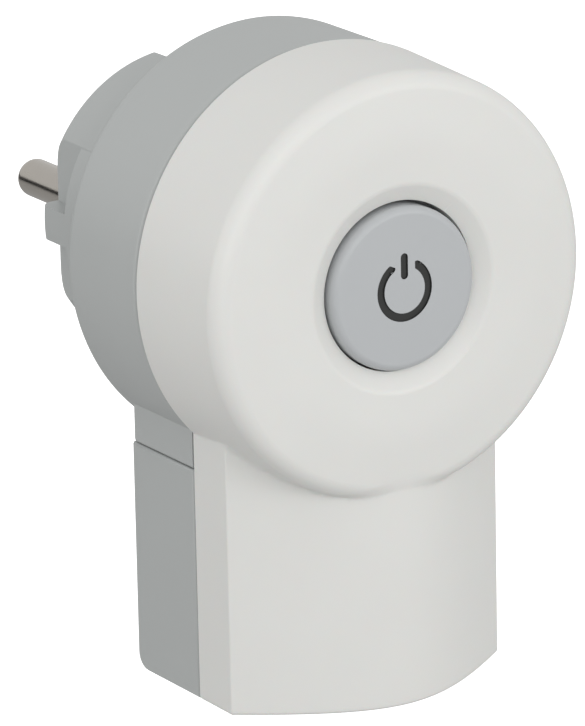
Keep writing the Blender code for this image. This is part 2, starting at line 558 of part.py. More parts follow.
def main():
    clear_scene()
    white = plain_material("white_plastic", (0.76, 0.76, 0.74), 0.45)
    grey = plain_material("grey_plastic", (0.39, 0.41, 0.41), 0.5)
    cap_grey = plain_material("cap_plastic", (0.45, 0.47, 0.49), 0.4)
    inner = plain_material("inner_plastic", (0.08, 0.08, 0.09), 0.6)
    rubber = plain_material("rubber", (0.03, 0.03, 0.03), 0.8)
    nickel = plain_material("nickel", (0.62, 0.59, 0.55), 0.2, 1.0)
    steel = plain_material("steel", (0.55, 0.55, 0.56), 0.35, 1.0)
    copper = plain_material("copper", (0.72, 0.42, 0.26), 0.35, 1.0)
    brass = plain_material("brass", (0.75, 0.58, 0.28), 0.35, 1.0)

    root = make_empty("housing_frame", (0, 0, 0))
    button = make_empty("button_axis", (0, BUTTON_FRONT_Y, 0), root)
    latch = make_empty("latch_axis", LATCH_PIVOT, root)

    make_front_cover(white, root)
    make_rear_housing(grey, root)
    make_neck_cover(grey, root)
    make_button_cap(cap_grey, button)
    make_button_plunger(inner, button)
    spring_y = BUTTON_BACK_Y + 1.7
    coil_spring("return_spring", 4.6, 0.35, GAP, SWITCH_FRONT_Y - spring_y - GAP, 2.5, steel,
                (0, spring_y, 0), root)
    make_switch_base(inner, root)
    make_contact_carrier(inner, button)
    make_latch_pin(steel, latch)
    make_contacts(copper, steel, root, button)
    make_pins(nickel, inner, root)
    make_earth_parts(steel, nickel, root)
    make_terminals(brass, steel, inner, root)
    make_cord_clamp(inner, steel, rubber, root)
    make_case_screws(steel, root)


main()
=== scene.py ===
# %% [markdown]
# # A switched mains plug
#
# This lesson dresses a finished mechanical model of a plug for the camera. The model gives the size and
# place of every part, and how the button moves. The cells below build the moulded shells, the button and
# the metal parts again with finer meshes, and give each piece a material made of nodes.

# %% Load the frame
import json
import math

import bmesh
import bpy
from mathutils import Matrix, Vector
from mathutils.kdtree import KDTree


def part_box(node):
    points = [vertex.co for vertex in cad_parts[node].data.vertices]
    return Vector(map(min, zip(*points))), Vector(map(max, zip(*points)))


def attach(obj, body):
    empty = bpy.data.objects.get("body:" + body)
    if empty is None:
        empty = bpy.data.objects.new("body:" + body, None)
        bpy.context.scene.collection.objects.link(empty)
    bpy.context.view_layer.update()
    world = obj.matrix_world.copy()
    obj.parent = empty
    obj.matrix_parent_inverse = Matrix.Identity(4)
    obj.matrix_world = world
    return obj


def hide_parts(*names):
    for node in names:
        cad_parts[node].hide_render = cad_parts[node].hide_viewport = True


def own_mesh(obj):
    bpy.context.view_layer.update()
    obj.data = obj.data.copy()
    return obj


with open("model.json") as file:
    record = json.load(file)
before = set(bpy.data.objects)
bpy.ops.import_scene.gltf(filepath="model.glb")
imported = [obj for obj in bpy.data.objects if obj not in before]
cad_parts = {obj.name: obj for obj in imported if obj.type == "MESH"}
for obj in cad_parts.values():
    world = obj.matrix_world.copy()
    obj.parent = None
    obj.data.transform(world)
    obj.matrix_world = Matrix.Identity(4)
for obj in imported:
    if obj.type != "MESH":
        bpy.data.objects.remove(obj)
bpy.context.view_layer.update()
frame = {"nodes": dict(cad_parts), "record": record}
MM = 0.001

# %% [markdown]
# ## Camera
#
# A long lens from far away keeps the round disc close to a true ellipse. The camera stands in front of
# the button, a little to the left and above, and aims at a point just under the middle of the disc.

# %% Camera
AZIMUTH, ELEVATION, ROLL = math.radians(-32.22), math.radians(17.02), math.radians(-1.205)
AIM = Vector((-5.35, -35.00, -11.96)) * MM
DISTANCE, LENS = 0.714, 298.9

camera_data = bpy.data.cameras.new("studio_camera")
camera_data.lens = LENS
camera_data.clip_start = 0.01
camera = bpy.data.objects.new("studio_camera", camera_data)
bpy.context.scene.collection.objects.link(camera)
level = math.cos(ELEVATION)
back = Vector((math.sin(AZIMUTH) * level, -math.cos(AZIMUTH) * level, math.sin(ELEVATION)))
camera.location = AIM + back * DISTANCE
facing = back.to_track_quat("Z", "Y").to_matrix()
camera.rotation_euler = (facing @ Matrix.Rotation(ROLL, 3, "Z")).to_euler()
bpy.context.scene.camera = camera
print("camera at", [round(value, 3) for value in camera.location])

# %% [markdown]
# ## Shader expressions
#
# A shader network is arithmetic on sockets. `Term` wraps one output socket and overloads the operators,
# so `0.4 + 0.1 * speckle` adds two Math nodes. Every other node comes from `node`, which sets its
# settings first and its sockets second.


# %% Shader helper
class Term:
    """A value that flows through a material, with arithmetic that adds Math nodes."""

    def __init__(self, socket):
        self.socket = socket

    def node(self, kind, settings=(), sockets=()):
        """Add a node to the same material, then set its properties and its sockets."""
        tree = self.socket.id_data
        made = tree.nodes.new(kind)
        for name, value in dict(settings).items():
            setattr(made, name, value)
        for name, value in dict(sockets).items():
            if isinstance(value, Term):
                tree.links.new(value.socket, made.inputs[name])
            else:
                made.inputs[name].default_value = value
        return made

    def term(self, kind, settings=(), sockets=(), output=0):
        """The same, but the answer is one of the new node's outputs."""
        return Term(self.node(kind, settings, sockets).outputs[output])

    def math(self, operation, other):
        return self.term("ShaderNodeMath", {"operation": operation}, {0: self, 1: other})

    def __add__(self, other):
        return self.math("ADD", other)

    __radd__ = __add__

    def __mul__(self, other):
        return self.math("MULTIPLY", other)

    __rmul__ = __mul__

    def __sub__(self, other):
        return self.math("SUBTRACT", other)

    def __rsub__(self, other):
        return self.term("ShaderNodeMath", {"operation": "SUBTRACT"}, {0: other, 1: self})

    def smooth_step(self, low, high):
        """0 below low, 1 above high, and an S-curve between."""
        values = {"Value": self, "From Min": low, "From Max": high}
        return self.term("ShaderNodeMapRange", {"interpolation_type": "SMOOTHSTEP"}, values)

    def noise(self, size, detail=2.0, roughness=0.5):
        """Cloudy noise whose blotches are about `size` metres wide. The term is a position."""
        values = {"Vector": self, "Scale": 1 / size, "Detail": detail, "Roughness": roughness}
        return self.term("ShaderNodeTexNoise", (), values)

    def mix_colour(self, low, high):
        """The colour `low` where this term is 0 and `high` where it is 1."""
        values = {"Factor": self, 6: low, 7: high}
        return self.term("ShaderNodeMix", {"data_type": "RGBA"}, values, 2)

    def bump(self, height, normal=None):
        """A normal for this height signal, whose full swing is `height` metres."""
        values = {"Height": self, "Distance": height, "Strength": 1.0}
        if normal:
            values["Normal"] = normal
        return self.term("ShaderNodeBump", (), values)


# %% Start and feed a material
def start_material(name):
    """A new material: its shader node and the object's own coordinates."""
    material = bpy.data.materials.new(name)
    material.use_nodes = True
    nodes = material.node_tree.nodes
    shader = nodes["Principled BSDF"]
    place = Term(nodes.new("ShaderNodeTexCoord").outputs["Object"])
    return material, shader, place


def feed(shader, **sockets):
    """Link terms to the shader's sockets, and set plain numbers on them."""
    for name, value in sockets.items():
        socket = shader.inputs[name.replace("_", " ")]
        if isinstance(value, Term):
            shader.id_data.links.new(value.socket, socket)
        else:
            socket.default_value = value


print("a term can be added to, multiplied, stepped, mixed and turned into a bump")

# %% [markdown]
# ## Moulded plastic
#
# The shells and the button are injection moulded. The tool's spark-eroded skin leaves a grain about 0.16
# mm wide, too fine to see as a pattern, which spreads the highlights. Slower clouds in the colour and the
# gloss stand for the flow of the melt and for light handling.


# %% Moulded plastic
FLOW_SIZE, HANDLING_SIZE, GRAIN_SIZE, WAVE_SIZE = 14 * MM, 3.5 * MM, 0.16 * MM, 5 * MM
WAVE_HEIGHT, SCATTER_DEPTH = 6e-6, 0.6 * MM


def shade(colour, factor):
    """The colour made lighter or darker, as the four numbers that a colour socket takes."""
    return (*(channel * factor for channel in colour), 1.0)


def moulded_plastic(name, colour, roughness, grain_height=2.2e-6, cloud=0.02, scatter=0.0):
    material, shader, place = start_material(name)
    flow = place.noise(FLOW_SIZE, 3.0)
    handling = place.noise(HANDLING_SIZE, 4.0, 0.6)
    grain = place.noise(GRAIN_SIZE, 2.0, 0.7)
    waviness = place.noise(WAVE_SIZE, 1.0)
    tint = flow.mix_colour(shade(colour, 1 - cloud), shade(colour, 1 + cloud))
    gloss = roughness - 0.03 + 0.04 * flow + 0.05 * (handling - 0.5)
    normal = grain.bump(grain_height, waviness.bump(WAVE_HEIGHT))
    feed(shader, Base_Color=tint, Roughness=gloss, Normal=normal)
    feed(shader, Specular_IOR_Level=0.45, Subsurface_Weight=scatter, Subsurface_Scale=SCATTER_DEPTH)
    return material


# %% The three plastics
WHITE = (0.74, 0.74, 0.715)
GREY = (0.448, 0.465, 0.459)
BUTTON_GREY = (0.472, 0.488, 0.499)
white_plastic = moulded_plastic("white_shell_plastic", WHITE, 0.42, scatter=0.08)
grey_plastic = moulded_plastic("grey_housing_plastic", GREY, 0.46)
dark_plastic = moulded_plastic("dark_insulation", (0.035, 0.035, 0.04), 0.55)
print("plastics:", white_plastic.name, grey_plastic.name, dark_plastic.name)

# %% [markdown]
# ## Outlines and solids
#
# Most of the plug is turned or extruded, so a small set of helpers makes it: an outline whose corners are
# rounded by their own radius, a spin of that outline round an axis, and an extrusion in thin slices.


# %% Outline helpers
def rounded(corners, closed=False, steps=6):
    """Points along an outline of (x, y) or (x, y, radius) corners, each rounded by its own radius."""
    points = []
    count = len(corners)
    for index, corner in enumerate(corners):
        place = Vector(corner[:2])
        radius = corner[2] if len(corner) > 2 else 0.0
        at_end = not closed and index in (0, count - 1)
        if at_end or radius <= 0:
            points.append(tuple(place))
            continue
        to_last = (Vector(corners[index - 1][:2]) - place).normalized()
        to_next = (Vector(corners[(index + 1) % count][:2]) - place).normalized()
        half = to_last.angle(to_next) / 2
        centre = place + (to_last + to_next).normalized() * radius / math.sin(half)
        first = place + to_last * radius / math.tan(half) - centre
        last = place + to_next * radius / math.tan(half) - centre
        turn = first.angle_signed(last)
        for step in range(steps + 1):
            points.append(tuple(centre + Matrix.Rotation(-turn * step / steps, 2) @ first))
    return points


def arc(centre, radius, start, end, steps):
    """Points on a circle between two angles in degrees."""
    angles = [math.radians(start + (end - start) * i / steps) for i in range(steps + 1)]
    return [(centre[0] + radius * math.cos(a), centre[1] + radius * math.sin(a)) for a in angles]


sample = rounded([(0, 0, 0.1), (1, 0, 0.1), (1, 1, 0.1), (0, 1, 0.1)], closed=True)
print("a unit square with rounded corners has", len(sample), "points")

# %% [markdown]
# ### Spins and extrusions
#
# bmesh does the modelling. The spin closes a ring of faces round an axis, and points on the axis itself
# are merged. The extrusion can be cut into slices, so that a later bend or fillet has points to move.


# %% Turn a bmesh into an object
SAME_PLACE, ON_AXIS = 1e-7, 1e-9


def to_object(name, bm):
    """Clean the bmesh, turn its faces outwards and make it an object at the origin."""
    bmesh.ops.remove_doubles(bm, verts=bm.verts, dist=SAME_PLACE)
    bmesh.ops.recalc_face_normals(bm, faces=bm.faces)
    mesh = bpy.data.meshes.new(name)
    bm.to_mesh(mesh)
    bm.free()
    obj = bpy.data.objects.new(name, mesh)
    bpy.context.scene.collection.objects.link(obj)
    return obj


# %% Spin
def spun(name, outline, at=(0, 0, 0), axis="Y", steps=128):
    """Spin an outline of (radius, height) in millimetres round an axis through `at`."""
    bm = bmesh.new()
    if axis == "Y":
        direction, places = (0, 1, 0), [(r, h, 0) for r, h in outline]
    else:
        direction, places = (0, 0, 1), [(r, 0, h) for r, h in outline]
    verts = [bm.verts.new(Vector(place) * MM) for place in places]
    pairs = zip(verts, verts[1:] + verts[:1])
    edges = [bm.edges.new(pair) for pair in pairs if max(abs(v.co.x) for v in pair) > ON_AXIS]
    bmesh.ops.spin(
        bm, geom=verts + edges, cent=(0, 0, 0), axis=direction, angle=math.tau, steps=steps, use_merge=True
    )
    bmesh.ops.translate(bm, verts=bm.verts, vec=Vector(at) * MM)
    return to_object(name, bm)


# %% Extrude
BEVEL_STEPS = 3


def extruded(name, outline, low, high, along="Z", slices=1, edge=0.0, edge_at="both"):
    """Extrude an outline in millimetres, cut it into slices, and round the edges of its ends."""
    places = {
        "X": lambda a, b, h: (h, a, b),
        "Y": lambda a, b, h: (a, h, b),
        "Z": lambda a, b, h: (a, b, h),
    }[along]
    bm = bmesh.new()
    cap = bm.faces.new([bm.verts.new(Vector(places(a, b, low)) * MM) for a, b in outline])
    grown = bmesh.ops.extrude_face_region(bm, geom=[cap])["geom"]
    moved = [part for part in grown if isinstance(part, bmesh.types.BMVert)]
    bmesh.ops.translate(bm, verts=moved, vec=Vector(places(0, 0, high - low)) * MM)
    bmesh.ops.recalc_face_normals(bm, faces=bm.faces)
    if edge:
        axis = "XYZ".index(along)
        ends = [end * MM for end, word in ((low, "low"), (high, "high")) if edge_at in ("both", word)]
        rim = [
            e for e in bm.edges
            if any(all(abs(v.co[axis] - end) < SAME_PLACE for v in e.verts) for end in ends)
        ]
        bmesh.ops.bevel(
            bm, geom=rim, offset=edge * MM, offset_type="OFFSET", segments=BEVEL_STEPS, profile=0.5,
            affect="EDGES", material=-1, clamp_overlap=True,
        )
    for index in range(1, slices):
        height = low + (high - low) * index / slices
        bmesh.ops.bisect_plane(
            bm, geom=[*bm.verts, *bm.edges, *bm.faces], dist=SAME_PLACE,
            plane_co=Vector(places(0, 0, height)) * MM, plane_no=places(0, 0, 1),
        )
    return to_object(name, bm)


def block(low, high):
    """A box between two corners in millimetres."""
    outline = [(low[0], low[1]), (high[0], low[1]), (high[0], high[1]), (low[0], high[1])]
    return extruded("block", outline, low[2], high[2])


# %% [markdown]
# ### Joining and cutting
#
# A Boolean modifier joins or cuts two closed solids. It is applied at once, and the tool is removed, so
# that no hidden helper is left in the scene.


# %% Join and cut
def apply_modifiers(obj):
    """Replace the mesh with what its modifiers make of it."""
    graph = bpy.context.evaluated_depsgraph_get()
    mesh = bpy.data.meshes.new_from_object(obj.evaluated_get(graph))
    old = obj.data
    obj.modifiers.clear()
    obj.data = mesh
    mesh.name = obj.name
    bpy.data.meshes.remove(old)


def combine(base, operation, tools):
    """Join each tool to the base, or cut it away, and remove the tool."""
    for tool in tools:
        modifier = base.modifiers.new("combine", "BOOLEAN")
        modifier.operation, modifier.solver, modifier.object = operation, "MANIFOLD", tool
        apply_modifiers(base)
        mesh = tool.data
        bpy.data.objects.remove(tool)
        bpy.data.meshes.remove(mesh)
    return base


def join(base, *tools):
    return combine(base, "UNION", tools)


def cut(base, *tools):
    return combine(base, "DIFFERENCE", tools)


# %% [markdown]
# ### Finishing a piece
#
# Every piece ends the same way: smooth shading with sharp edges where the surface turns, a material, the
# body it rides on, and the nodes of the mechanical model that it stands for.


# %% Finish a piece
SHARP_ANGLE = math.radians(32)


def finish_piece(obj, material, body, slot, *nodes):
    """Smooth shading, a material, the body it rides on and the nodes it stands for."""
    obj.data.materials.clear()
    obj.data.materials.append(material)
    obj.data.shade_smooth()
    obj.data.set_sharp_from_angle(angle=SHARP_ANGLE)
    obj.modifiers.new("even_normals", "WEIGHTED_NORMAL").keep_sharp = True
    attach(obj, body)
    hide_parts(*nodes)
    print(f"{obj.name}: {len(obj.data.polygons)} faces")
    return obj


# %% [markdown]
# ## Driving sizes
#
# The frame's boxes give the sizes that the shells must keep: the seam between the white and the grey
# half, the disc's radius, the ends of the neck, and the middles of the pins, the screws and the cord.


# %% Driving sizes
def box_mm(node):
    return [Vector(corner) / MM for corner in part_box(node)]


def middle(node):
    """The centre of a node's box, in millimetres."""
    low, high = box_mm(node)
    return (low + high) / 2


cover_low, cover_high = box_mm("front_cover")
housing_low, housing_high = box_mm("rear_housing")
neck_low, neck_high = box_mm("neck_cover")
cap_low, cap_high = box_mm("button_cap")
SEAM, FRONT, NECK_END = cover_high.y, cover_low.y, cover_low.z
DISC_R, HOUSING_R, HOUSING_FRONT = cover_high.x, housing_high.x, housing_low.y
NECK_HALF, NECK_BACK, NECK_TOP = neck_high.x, neck_high.y, neck_high.z
CORD_Y = middle("cord_grommet").y
print("seam at", round(SEAM, 1), "front at", round(FRONT, 1), "neck ends at", round(NECK_END, 1))
print("cord leaves at", round(CORD_Y, 2), "behind the front by", round(CORD_Y - FRONT, 1))

# %% [markdown]
# ## Holes and bosses
#
# The shells share a few round features: plain rods, which add a boss or cut a bore, and holes whose mouth
# widens at 45 degrees, as a moulded edge does. One function makes each, so that every screw sits in the
# same pocket.

# %% Sizes that the shells share
WALL, EDGE = 2.2, 0.35
NECK_ROOT = -12.0
CORD_HOLE_R, CORD_HOLE_LOW, CORD_HOLE_HIGH = 5.5, -60, -45
HEAD_POCKET_R, HEAD_POCKET_DEPTH, SHANK_BORE_R = 2.7, 2.4, 1.8
print("walls", WALL, "mm, neck rooted at", NECK_ROOT)


# %% Holes and bosses
def rod(name, radius, low, high, at=(0, 0, 0), axis="Y", steps=128):
    """A plain round rod between two heights along the axis."""
    return spun(name, [(0, low), (radius, low), (radius, high), (0, high)], at, axis, steps)


def flared_hole(name, radius, face, depth, at, below=0.2, above=0.3, steps=48):
    """A cutter for a round hole whose mouth widens at 45 degrees through the face at y = `face`."""
    corners = [
        (0, face - depth), (radius, face - depth), (radius, face - below, 0.2),
        (radius + below + above, face + above), (0, face + above),
    ]
    return spun(name, rounded(corners), at, steps=steps)


def screw_pocket(front, back, at):
    """Cutters for one screw: the pocket for its head in the back face, and the bore for its shank."""
    return (
        flared_hole("head_pocket", HEAD_POCKET_R, back, HEAD_POCKET_DEPTH, at),
        rod("shank_bore", SHANK_BORE_R, front - 1, back, at, steps=32),
    )


def cord_hole():
    """The cutter for the round hole under the neck."""
    return rod("cord_hole", CORD_HOLE_R, CORD_HOLE_LOW, CORD_HOLE_HIGH, (0, CORD_Y, 0), "Z", 64)


# %% [markdown]
# ## Front cover
#
# One white moulding: a domed disc with a shallow dish round the button, and the front of the neck. The
# disc is spun and the neck is extruded, then the two are joined. The button's hole is a hair higher than
# the button, as on the real one, so the gap is a little wider above it.

# %% Front cover sizes
RIM_R, RIM_DROP, RIM_FILLET = DISC_R - 0.8, 0.5, 2.3
FACE_R, FACE_RISE, FACE_BEND = 18.0, 0.02, 40.0
DISH_R, DISH_DROP, DISH_FILLET, DISH_FLOOR = 12.5, 0.2, 1.6, FRONT + 1.4
HOLE_R, HOLE_RISE, HOLE_FRONT, HOLE_BACK = 10.27, 0.13, -60, -40
COLLAR_R = 11.9
NECK_CORNER_Y, CROWN_SAG, CROWN_BEND = SEAM - 7.0, 9.1, 13.0
print("a dish of radius", DISH_R, "round a hole of", HOLE_R, "in a disc of", round(DISC_R, 1))

# %% [markdown]
# ### The neck's plan
#
# Seen from below, the front of the neck is straighter at its sides and turns faster in the middle. A
# hyperbola does that with two numbers: how far it stands out, and how wide its bend is.


# %% Crown of the neck
def crown_points(half, inset, steps):
    """The convex front of the neck in plan, a blunt hyperbola moved back by `inset`."""
    places = []
    for index in range(steps + 1):
        across = -half + 2 * half * index / steps
        rise = math.hypot(1, across / CROWN_BEND) - 1
        full = math.hypot(1, NECK_HALF / CROWN_BEND) - 1
        places.append((across, NECK_CORNER_Y - CROWN_SAG * (1 - rise / full) + inset))
    return places


middle_of_crown = crown_points(NECK_HALF, 0, 2)[1]
print("the crown stands out to", round(middle_of_crown[1], 2))

# %% [markdown]
# ### The crease under the disc
#
# A real mould has a small fillet where the neck meets the disc. The edge there is curved and crosses many
# small faces, so instead of a bevel, the mesh beside it is made finer and its points are relaxed until
# the corner is soft.

# %% Soft crease
CREASE_ANGLE = math.radians(8)
CREASE_TOP, CREASE_BACK, CREASE_R = -14, SEAM - 0.6, DISC_R - WALL + 0.3
SHORTEST_EDGE = 0.35


def on_crease(place):
    """Whether a point lies outside the disc's wall, below the middle and clear of the seam."""
    outside = place.xz.length > CREASE_R * MM
    return outside and place.z < CREASE_TOP * MM and place.y < CREASE_BACK * MM


def soften_crease(obj, reach, rounds):
    """Relax the points near the inside corner where the disc meets the neck."""
    bm = bmesh.new()
    bm.from_mesh(obj.data)
    bm.normal_update()
    bent = [e for e in bm.edges if len(e.link_faces) == 2 and e.calc_face_angle_signed(0) < -CREASE_ANGLE]
    crease = [v.co.copy() for e in bent for v in e.verts if on_crease(v.co)]
    tree = KDTree(len(crease))
    for index, place in enumerate(crease):
        tree.insert(place, index)
    tree.balance()
    for _ in range(2):
        near = [e for e in bm.edges if any(tree.find(v.co)[2] < reach * MM for v in e.verts)]
        long = [e for e in near if e.calc_length() > SHORTEST_EDGE * MM]
        bmesh.ops.subdivide_edges(bm, edges=long, cuts=1, use_grid_fill=True)
        bmesh.ops.triangulate(bm, faces=[f for f in bm.faces if len(f.verts) > 4])
    for _ in range(rounds):
        soft = [v for v in bm.verts if tree.find(v.co)[2] < reach * 0.8 * MM]
        bmesh.ops.smooth_vert(
            bm, verts=soft, factor=0.5, use_axis_x=True, use_axis_y=True, use_axis_z=True
        )
    bm.to_mesh(obj.data)
    bm.free()
    return obj


# %% Front cover
def neck_block():
    """The solid front half of the neck, from the disc down to the foot."""
    crown = crown_points(NECK_HALF, 0, 48)
    soft_ends = [(*crown[0], EDGE), *crown[1:-1], (*crown[-1], EDGE)]
    plan = rounded([(-NECK_HALF, SEAM), *soft_ends, (NECK_HALF, SEAM)], closed=True, steps=4)
    return extruded("neck", plan, NECK_END, NECK_ROOT, slices=56, edge=EDGE, edge_at="low")


def make_front_cover():
    corners = [
        (0, SEAM), (DISC_R, SEAM, 0.2), (RIM_R, FRONT + RIM_DROP, RIM_FILLET),
        (FACE_R, FRONT - FACE_RISE, FACE_BEND), (DISH_R, FRONT + DISH_DROP, DISH_FILLET),
        (HOLE_R + 0.1, DISH_FLOOR), (0, DISH_FLOOR),
    ]
    cover = spun("front_cover_shell", rounded(corners, steps=10), steps=224)
    join(cover, neck_block())
    inner = NECK_HALF - WALL
    hollow = [(-inner, SEAM + 1), *crown_points(inner, WALL, 24), (inner, SEAM + 1)]
    inside_y = FRONT + 0.4 + WALL
    disc_hollow = [(0, SEAM + 1), (DISC_R - WALL, SEAM + 1), (RIM_R - WALL, inside_y, 2.0), (0, inside_y)]
    cut(
        cover,
        spun("disc_hollow", rounded(disc_hollow), steps=96),
        extruded("neck_hollow", hollow, NECK_END + WALL, NECK_ROOT),
    )
    join(cover, rod("collar", COLLAR_R, inside_y - 0.8, cap_high.y - 1.5))
    cut(cover, rod("button_hole", HOLE_R, HOLE_FRONT, HOLE_BACK, (0, 0, HOLE_RISE), steps=160))
    cut(cover, cord_hole())
    return soften_crease(cover, reach=1.6, rounds=8)


finish_piece(make_front_cover(), white_plastic, "housing", "white_plastic", "front_cover")

# %% [markdown]
# ## Rear housing
#
# The grey half carries the body that enters the wall socket. Its front edge has a small rolled lip, which
# leaves the thin dark line along the seam. Beside each pin the body has two flats with a rib between, and
# a groove above and below takes the earth strip.

# %% Rear housing sizes
BODY_R, BACK_Y = 19.2, -18.0
LIP_WIDTH, LIP_STEP, LIP_FILLET = 0.9, 0.2, 0.6
FLAT_X, FLAT_LENGTH, RIB_HALF, FLAT_HALF = 16.4, 6.0, 2.1, 12
GROOVE_FLOOR, GROOVE_HALF, GROOVE_END = 16.4, 3.1, -17.3
SLOT_LOW, SLOT_HIGH, SLOT_HALF, SLOT_BACK = 13.5, 17, 2.9, -15.7
PIN_HOLE_R, EARTH_HOLE_R, EARTH_HOLE_Z, HOLE_DEPTH = 2.6, 3.2, 10, 4
BOSS_R, OUTSIDE = 3.4, 22
pin_place, case_screw = middle("line_pin"), middle("housing_screw_left")
PIN_X, SCREW_X, SCREW_Z = abs(pin_place.x), abs(case_screw.x), case_screw.z
print("pins at", round(PIN_X, 2), "- case screws at", round(SCREW_X, 2), round(SCREW_Z, 2))


# %% Rear housing
def housing_blank():
    """The solid housing: the drum, the body that enters the socket, and the stub of the neck."""
    front = HOUSING_FRONT
    corners = [
        (0, front), (HOUSING_R - LIP_WIDTH, front), (HOUSING_R - LIP_WIDTH, front + LIP_STEP),
        (HOUSING_R, front + LIP_STEP, LIP_FILLET), (HOUSING_R, BACK_Y, 1.4), (BODY_R + 0.1, BACK_Y, 0.6),
        (BODY_R - 0.05, 0, 1.7), (0, 0),
    ]
    half, back = NECK_HALF, NECK_BACK
    stub = [(-half, front), (-half, back, 1.0), (half, back, 1.0), (half, front)]
    blank = spun("rear_housing_shell", rounded(corners), steps=224)
    outline = rounded(stub, closed=True)
    return join(blank, extruded("stub", outline, NECK_TOP + 0.16, NECK_ROOT, edge=EDGE, edge_at="low"))


def cut_flats(housing, sign):
    """The two flats on one side of the body, with a rib left between them."""
    for end in (-1, 1):
        low_x, high_x = sorted((sign * FLAT_X, sign * OUTSIDE))
        low_z, high_z = sorted((end * RIB_HALF, end * FLAT_HALF))
        cut(housing, block((low_x, -FLAT_LENGTH, low_z), (high_x, 2, high_z)))


def cut_grooves(housing):
    """The grooves that hold the earth strip, each with a slot that leads the strip inside."""
    for end in (-1, 1):
        low_z, high_z = sorted((end * GROOVE_FLOOR, end * OUTSIDE))
        cut(housing, block((-GROOVE_HALF, GROOVE_END, low_z), (GROOVE_HALF, 2, high_z)))
        low_z, high_z = sorted((end * SLOT_LOW, end * SLOT_HIGH))
        cut(housing, block((-SLOT_HALF, GROOVE_END, low_z), (SLOT_HALF, SLOT_BACK, high_z)))


def make_rear_housing():
    front, inner_back = HOUSING_FRONT, BACK_Y - WALL
    housing = housing_blank()
    wide, narrow, shoulder, end_wall = 15.8, 13.9, -8.2, -2.4
    hollow = [
        (0, front - 1), (HOUSING_R - WALL, front - 1), (HOUSING_R - WALL, inner_back), (wide, inner_back),
        (wide, shoulder), (narrow, shoulder), (narrow, end_wall), (0, end_wall),
    ]
    inner = NECK_HALF - 2
    cut(
        housing,
        spun("housing_hollow", hollow, steps=96),
        block((-inner, front - 1, -30), (inner, NECK_BACK - 2, -10)),
        flared_hole("earth_hole", EARTH_HOLE_R, 0, HOLE_DEPTH, (0, 0, EARTH_HOLE_Z), 0.35, 0.35, 128),
    )
    for sign in (-1, 1):
        at = (sign * SCREW_X, 0, SCREW_Z)
        join(housing, rod("boss", BOSS_R, front + 0.3, inner_back + 0.7, at, steps=48))
        pin_hole = flared_hole("pin_hole", PIN_HOLE_R, 0, HOLE_DEPTH, (sign * PIN_X, 0, 0), steps=64)
        cut(housing, pin_hole, *screw_pocket(front, BACK_Y, at))
        cut_flats(housing, sign)
    cut_grooves(housing)
    return housing


finish_piece(make_rear_housing(), grey_plastic, "housing", "grey_plastic", "rear_housing")

# %% [markdown]
# ## Neck cover
#
# The lower grey cover closes the back of the neck over the cord. It is one extrusion with a rounded foot,
# cut away where the disc hangs over it.

# %% Neck cover sizes
FOOT_FILLET, NECK_BOSS_R, DISC_GAP = 2.0, 3.2, 0.3
neck_screw = middle("neck_screw_left")
print("neck screws at", round(abs(neck_screw.x), 2), round(neck_screw.z, 2))


# %% Neck cover
def make_neck_cover():
    front = neck_low.y
    corners = [
        (front, NECK_TOP), (front, NECK_END), (NECK_BACK, NECK_END, FOOT_FILLET), (NECK_BACK, NECK_TOP),
    ]
    side = rounded(corners, closed=True)
    cover = extruded("neck_cover_shell", side, -NECK_HALF, NECK_HALF, "X", edge=EDGE)
    inner = NECK_HALF - 2
    cut(
        cover,
        block((-inner, front - 1, NECK_END + 2), (inner, NECK_BACK - 2, NECK_TOP + 1)),
        rod("disc_clearance", HOUSING_R + DISC_GAP, front - 1, NECK_BACK + 1, steps=192),
        cord_hole(),
    )
    for sign in (-1, 1):
        at = (sign * abs(neck_screw.x), 0, neck_screw.z)
        join(cover, rod("boss", NECK_BOSS_R, front + 0.3, NECK_BACK - 1, at, steps=48))
        cut(cover, *screw_pocket(front, NECK_BACK, at))
    return cover


finish_piece(make_neck_cover(), grey_plastic, "housing", "grey_plastic", "neck_cover")

# %% [markdown]
# ## Button
#
# The cap is turned with a soft edge, and the power symbol is cut into its face with rounded ends: an open
# ring and an upright bar, each one outline extruded a little way through the face.

# %% Button sizes
SYMBOL_R, STROKE, SYMBOL_DROP, SYMBOL_DEPTH, SYMBOL_GAP = 3.3, 1.0, 0.05, 0.22, 32
BAR_LOW, BAR_HIGH = (0, 1.75), (0, 3.9)
CAP_R, CAP_FILLET, CAP_WALL, FLANGE_HEIGHT = 9.9, 0.95, 1.6, 1.2
print("symbol", 2 * SYMBOL_R + STROKE, "mm across, cut", SYMBOL_DEPTH, "deep")


# %% Power symbol
def stadium(start, end, half, steps=10):
    """The outline of a straight stroke with round ends, in the XZ plane."""
    (x0, z0), (x1, z1) = start, end
    heading = math.degrees(math.atan2(z1 - z0, x1 - x0))
    first = arc(end, half, heading - 90, heading + 90, steps)
    return first + arc(start, half, heading + 90, heading + 270, steps)


def symbol_ring():
    """The outline of the open ring, with round ends."""
    half, centre = STROKE / 2, (0, -SYMBOL_DROP)
    start, end = 90 + SYMBOL_GAP, 450 - SYMBOL_GAP
    ends = []
    for angle, turn in ((end, 90), (start, 270)):
        place = arc(centre, SYMBOL_R, angle, angle, 1)[0]
        ends.append(arc(place, half, angle - 90 + turn - 90, angle + 90 + turn - 90, 8))
    outer = arc(centre, SYMBOL_R + half, start, end, 72)
    inner = arc(centre, SYMBOL_R - half, end, start, 72)
    return outer + ends[0][1:-1] + inner + ends[1][1:-1]


